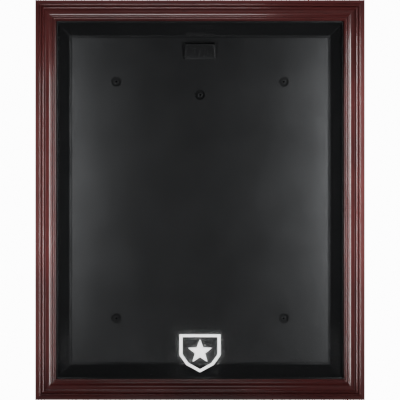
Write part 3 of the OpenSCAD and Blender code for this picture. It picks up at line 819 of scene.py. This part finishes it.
# A smooth border is inset round the pebbled part of the floor.
border = 0.0055
pick("FACE", lambda middle, face: middle.length < floor_d + 1e-4)
bpy.ops.mesh.inset(thickness=border - 0.0022)
tray.data.materials.append(tray_satin)
tray.data.materials.append(tray_pebble)
tray.active_material_index = 1
bpy.ops.object.material_slot_assign()
bpy.ops.object.mode_set(mode="OBJECT")
thick = tray.modifiers.new("wall", "SOLIDIFY")
thick.thickness = tray_wall
thick.offset = -1.0
thick.use_even_offset = True
select_only(tray)
bpy.ops.object.modifier_apply(modifier=thick.name)

# Behind the floor: a boss round each screw pocket and two ribs each way between them.
pocket_x, pocket_z, top_pocket_z = 0.221, 0.3125, 0.2775
pocket_r = 0.0125
pocket_places = [(x, z) for x in (-pocket_x, pocket_x) for z in (-pocket_z, pocket_z)]
pocket_places.append((0.0, top_pocket_z))
bosses = [stud(pocket_r + tray_wall, x, z, 0.0, floor_d - 0.001) for x, z in pocket_places]
combine(tray, join_up(bosses), "UNION")
uprights = [block((x - 0.00125, 0.001, -floor_z), (x + 0.00125, floor_d - 0.001, floor_z))
            for x in (-pocket_x, pocket_x)]
combine(tray, join_up(uprights), "UNION")
levels = [block((-floor_x, 0.0012, z - 0.00125), (floor_x, floor_d - 0.0012, z + 0.00125))
          for z in (-pocket_z, pocket_z)]
combine(tray, join_up(levels), "UNION")

# The pockets, each with a raised ring round its screw hole.
pockets = [stud(pocket_r, x, z, 0.004, floor_d - 0.0006, flare=0.0009) for x, z in pocket_places]
combine(tray, join_up(pockets), "DIFFERENCE")
seats = [stud(0.0063, x, z, 0.003, 0.006) for x, z in pocket_places]
for seat in seats:
    select_only(seat)
    bpy.ops.object.mode_set(mode="EDIT")
    pick("EDGE", lambda middle, edge: abs(middle.y + 0.006) < 1e-5)
    bpy.ops.mesh.bevel(offset=0.0006, segments=2)
    bpy.ops.object.mode_set(mode="OBJECT")
combine(tray, join_up(seats), "UNION")
screw_holes = [stud(0.0025, x, z, -0.001, floor_d, sides=24) for x, z in pocket_places]
combine(tray, join_up(screw_holes), "DIFFERENCE")

# ---- Hanger hook ----
# Part of the same moulding: a tongue that rises from the foot of a window in the floor, with
# a cheek down each side of the window. The hanger of the jersey's rod drops behind it.
hook_z = 0.377
hook_half, lip_half = 0.042, 0.037
hook_tall, hook_reach, hook_foot, hook_gap = 0.034, 0.018, 0.005, 0.005


def hook_solid(shell):
    """The hook's outer form, or with a shell the space inside and behind it."""
    front_d = floor_d + hook_reach - shell
    foot, lip = hook_half - shell, lip_half - shell
    low_z = hook_z + shell - hook_foot
    high_z = hook_z + hook_tall + (hook_gap if shell else 0.0)
    knee_z, knee_d = hook_z + shell * 0.8, floor_d + 0.55 * hook_reach - shell * 0.6
    back_d = -0.001 if shell else floor_d - 0.001
    side = (hook_reach - shell, foot - lip)
    cuts = [
        ((foot, floor_d, 0.0), (side[0], -side[1], 0.0)),
        ((-foot, floor_d, 0.0), (-side[0], -side[1], 0.0)),
        ((0.0, floor_d, low_z), (0.0, low_z - knee_z, floor_d - knee_d)),
        ((0.0, front_d, hook_z + hook_tall),
         (0.0, knee_z - hook_z - hook_tall, knee_d - front_d)),
    ]
    wide = foot + (0.0002 if shell else 0.0)
    return block((-wide, back_d, low_z), (wide, front_d + 0.0002, high_z), cuts)


tongue = hook_solid(0.0)
select_only(tongue)
bpy.ops.object.mode_set(mode="EDIT")
for side in (-1, 1):
    bpy.ops.mesh.select_all(action="SELECT")
    bpy.ops.mesh.bisect(plane_co=(side * hook_half, 0.0, hook_z - 0.006), threshold=1e-6,
                        plane_no=(side, 0.0, 0.097), use_fill=True, clear_outer=True)
pick("EDGE", lambda middle, edge: middle.z > hook_z + hook_tall - 1e-5
     and abs(edge.verts[0].co.y - edge.verts[1].co.y) > 0.005)
bpy.ops.mesh.bevel(offset=0.007, segments=8)
pick("EDGE", lambda middle, edge: -middle.y > floor_d + 0.002
     and edge.is_manifold and edge.calc_face_angle() > 0.35)
bpy.ops.mesh.bevel(offset=0.0008, segments=2)
bpy.ops.object.mode_set(mode="OBJECT")
combine(tray, tongue, "UNION")
cheeks = []
for side in (-1, 1):
    low_x, high_x = sorted((side * 0.036, side * 0.0425))
    cheeks.append(block(
        (low_x, floor_d - 0.001, hook_z - hook_foot), (high_x, 0.016, hook_z + hook_tall + hook_gap),
        [((side * 0.0425, floor_d, 0.0), (side * 0.006, -0.0037, 0.0)),
         ((0.0, floor_d, hook_z + hook_tall + hook_gap), (0.0, -0.35, 1.0))]))
combine(tray, join_up(cheeks), "UNION")
combine(tray, hook_solid(0.003), "DIFFERENCE")

# ---- Holes in the tray ----
# Drilled after moulding: seats for the screws that hold the batten, pilot holes for the
# hinge leaves, two slots for the catches and a boss behind each catch screw.
hinge_heights = [0.4125, 0.1445, -0.175, -0.411]
hinge_screw_x = -case_high.x + 0.0035 + 0.62 * 0.022
catch_x, catch_z = 0.402, 0.270
catch_screw_dz = 0.030
batten_screw_d = flange_d - 0.006
batten_seat_x = -(rim_x - 6 * band_x / 14 + 0.0012)
batten_pitch = 0.0314
catch_bosses = [stud(0.004, catch_x, side * catch_z + dz, flange_d - 0.015, flange_d - 0.001)
                for side in (-1, 1) for dz in (-catch_screw_dz, catch_screw_dz)]
combine(tray, join_up(catch_bosses), "UNION")
drills = []
for height in hinge_heights:
    for half in (-0.5, 0.5):
        drills.append(stud(0.00145, hinge_screw_x, height + half * 0.0165, flange_d - 0.02,
                           flange_d + 0.001, sides=20))
        for r, low_x, high_x in ((0.00145, -0.024, 0.0), (0.00275, 0.0, 0.0098)):
            bpy.ops.object.select_all(action="DESELECT")
            bpy.ops.mesh.primitive_cylinder_add(
                radius=r, depth=high_x - low_x + (0.0001 if low_x else 0.0), vertices=24,
                location=(batten_seat_x + (low_x + high_x) / 2, -batten_screw_d,
                          height + half * batten_pitch),
                rotation=(0.0, math.pi / 2, 0.0))
            settle(bpy.context.object)
            drills.append(bpy.context.object)
for side in (-1, 1):
    for dz in (-catch_screw_dz, catch_screw_dz):
        drills.append(stud(0.00145, catch_x, side * catch_z + dz, flange_d - 0.011,
                           flange_d + 0.001, sides=20))
    drills.append(block((catch_x - 0.0072, flange_d - 0.004, side * catch_z - 0.0242),
                        (catch_x + 0.0072, flange_d + 0.001, side * catch_z + 0.0242)))
for drill in drills:
    combine(tray, drill, "DIFFERENCE")
round_shading(tray, 32)
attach(tray, "tray")
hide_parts("backing_tray")
lit_tray.objects.link(tray)
unlit_by(lit_door, tray)

# ---- Hinge batten ----
# A planed softwood strip inside the tray's left edge, for the hinge screws to bite into.
batten, batten_tree, batten_shader = new_finish("batten_wood")
batten_place = batten_tree.nodes.new("ShaderNodeTexCoord")
batten_along = batten_tree.nodes.new("ShaderNodeMapping")
batten_along.inputs["Rotation"].default_value = (0.0, math.pi / 2, 0.0)
batten_grain = batten_tree.nodes.new("ShaderNodeGroup")
batten_grain.node_tree = grain
batten_grain.inputs["Dark"].default_value = (0.30, 0.17, 0.085, 1.0)
batten_grain.inputs["Light"].default_value = (0.55, 0.37, 0.20, 1.0)
batten_grain.inputs["Streaks"].default_value = 1.6
batten_bump = batten_tree.nodes.new("ShaderNodeBump")
batten_bump.inputs["Strength"].default_value = 0.3
batten_bump.inputs["Distance"].default_value = 0.0005
batten_rough = batten_tree.nodes.new("ShaderNodeMath")
batten_rough.operation = "ADD"
batten_rough.inputs[1].default_value = 0.32
join_nodes(
    batten_tree,
    (batten_place.outputs["Object"], batten_along.inputs["Vector"]),
    (batten_along.outputs[0], batten_grain.inputs["Vector"]),
    (batten_grain.outputs["Color"], batten_shader.inputs["Base Color"]),
    (batten_grain.outputs["Roughness"], batten_rough.inputs[0]),
    (batten_rough.outputs[0], batten_shader.inputs["Roughness"]),
    (batten_grain.outputs["Height"], batten_bump.inputs["Height"]),
    (batten_bump.outputs[0], batten_shader.inputs["Normal"]),
)
give_finish("hinge_batten", batten)

# ---- Screws ----
# Countersunk cross-head screws, one model for every place: brass-plated in the hinges,
# zinc in the strike plates, blackened in the tray. The shank's point is buried in its wood.
brass = worn_finish("brass_plate", (0.62, 0.42, 0.16), (0.80, 0.62, 0.32), 0.22, 0.42,
                    600.0, 0.10, metallic=1.0)
black_steel = worn_finish("black_screw", (0.035, 0.035, 0.037), (0.20, 0.20, 0.20), 0.30, 0.5,
                          900.0, 0.15, metallic=0.8)


def screw(head_r, shank_r, sink, length, flat=True):
    """A cross-head screw with its head's top face on z = 0 and its shank down -z."""
    bpy.ops.object.select_all(action="DESELECT")
    rim = 0.0002 if flat else sink
    bpy.ops.mesh.primitive_cylinder_add(radius=head_r, depth=rim, vertices=24,
                                        location=(0.0, 0.0, -rim / 2))
    item = bpy.context.object
    settle(item)
    bpy.ops.object.mode_set(mode="EDIT")
    under = -rim
    steps = [(sink - rim, shank_r / head_r)] if flat else [(0.0, shank_r / head_r)]
    steps += [(length - sink - 0.002, 1.0), (0.002, 0.3)]
    for drop, taper in steps:
        pick("FACE", lambda middle, face: abs(middle.z - under) < 1e-6
             and face.normal.z < -0.9 and len(face.verts) == 24)
        bpy.ops.mesh.extrude_region_move(TRANSFORM_OT_translate={"value": (0.0, 0.0, -drop)})
        bpy.ops.transform.resize(value=(taper, taper, 1.0), center_override=(0, 0, 0))
        under -= drop
    if not flat:
        pick("EDGE", lambda middle, edge: middle.z > -1e-6)
        bpy.ops.mesh.bevel(offset=rim * 0.6, segments=4)
    bpy.ops.mesh.select_all(action="SELECT")
    bpy.ops.mesh.remove_doubles(threshold=1e-7)
    bpy.ops.object.mode_set(mode="OBJECT")
    for turn in (0.0, math.pi / 2):
        bpy.ops.object.select_all(action="DESELECT")
        bpy.ops.mesh.primitive_cube_add(size=1.0, rotation=(0.0, 0.0, turn + 0.4))
        slot_bit = bpy.context.object
        slot_bit.scale = (head_r * 1.15, head_r * 0.26, head_r * 0.75)
        settle(slot_bit)
        combine(item, slot_bit, "DIFFERENCE")
    round_shading(item, 35)
    return item


def place_screws(model, node, body, finish, places, direction):
    """Copies of a screw at each place, driven in the direction, as one piece for a node."""
    turn = Vector(direction).to_track_quat("-Z", "Y").to_matrix().to_4x4()
    copies = []
    for number, place in enumerate(places):
        copy = model.copy()
        copy.data = model.data.copy()
        bpy.context.scene.collection.objects.link(copy)
        spin = Matrix.Rotation(0.9 * number, 4, "Z")
        copy.data.transform(Matrix.Translation(place) @ turn @ spin)
        copies.append(copy)
    group = join_up(copies)
    group.name = node + "_set"
    group.data.materials.append(finish)
    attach(group, body)
    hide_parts(node)
    return group


leaf_t = 0.0012
door_leaf_screw = screw(0.0026, 0.0014, 0.0013, 0.0142)
place_screws(
    door_leaf_screw, "door_leaf_screws", "door", brass,
    [(hinge_screw_x, -(door_back - leaf_t), height + dz)
     for height in hinge_heights for dz in (-0.0165, 0.0, 0.0165)], (0.0, -1.0, 0.0))
tray_leaf_screw = screw(0.0026, 0.0014, 0.0013, 0.0201)
place_screws(
    tray_leaf_screw, "tray_leaf_screws", "tray", brass,
    [(hinge_screw_x, -(flange_d + leaf_t), height + dz)
     for height in hinge_heights for dz in (-0.00825, 0.00825)], (0.0, 1.0, 0.0))
strike_screw = screw(0.0026, 0.0014, 0.0013, 0.0131)
place_screws(
    strike_screw, "strike_plate_screws", "door", zinc,
    [(catch_x, -(door_back - leaf_t), side * catch_z + dz)
     for side in (-1, 1) for dz in (-0.015, 0.015)], (0.0, -1.0, 0.0))
batten_screw = screw(0.00268, 0.0014, 0.0017, 0.0255, flat=False)
place_screws(
    batten_screw, "batten_screws", "tray", black_steel,
    [(batten_seat_x + 0.0017, -batten_screw_d, height + half * batten_pitch)
     for height in hinge_heights for half in (-0.5, 0.5)], (-1.0, 0.0, 0.0))
catch_screw = screw(0.0026, 0.0014, 0.0012, 0.0136, flat=False)
place_screws(
    catch_screw, "catch_screws", "tray", zinc,
    [(catch_x, -(flange_d + 0.0027), side * catch_z + dz)
     for side in (-1, 1) for dz in (-catch_screw_dz, catch_screw_dz)], (0.0, 1.0, 0.0))
for model in (door_leaf_screw, tray_leaf_screw, strike_screw, batten_screw, catch_screw):
    bpy.data.objects.remove(model)

# ---- Hinges ----
# Four pressed brass-plated butt hinges with loose steel pins, screwed on with flat leaves.
for number in range(1, 5):
    give_finish("hinge_%d_door_leaf" % number, brass)
    give_finish("hinge_%d_tray_leaf" % number, brass)
    give_finish("hinge_%d_pin" % number, brass)

# ---- Magnetic catches ----
# A moulded housing with a bar magnet in it, let into the flange, and a zinc-plated strike
# plate opposite it on the back of the right stile.
magnet_dark = worn_finish("ferrite_magnet", (0.06, 0.06, 0.062), (0.16, 0.16, 0.16), 0.45,
                          0.65, 1200.0, 0.2)
for level in ("upper", "lower"):
    give_finish(level + "_catch_housing", bead_plastic)
    give_finish(level + "_catch_magnet", magnet_dark)
    give_finish(level + "_strike_plate", zinc)
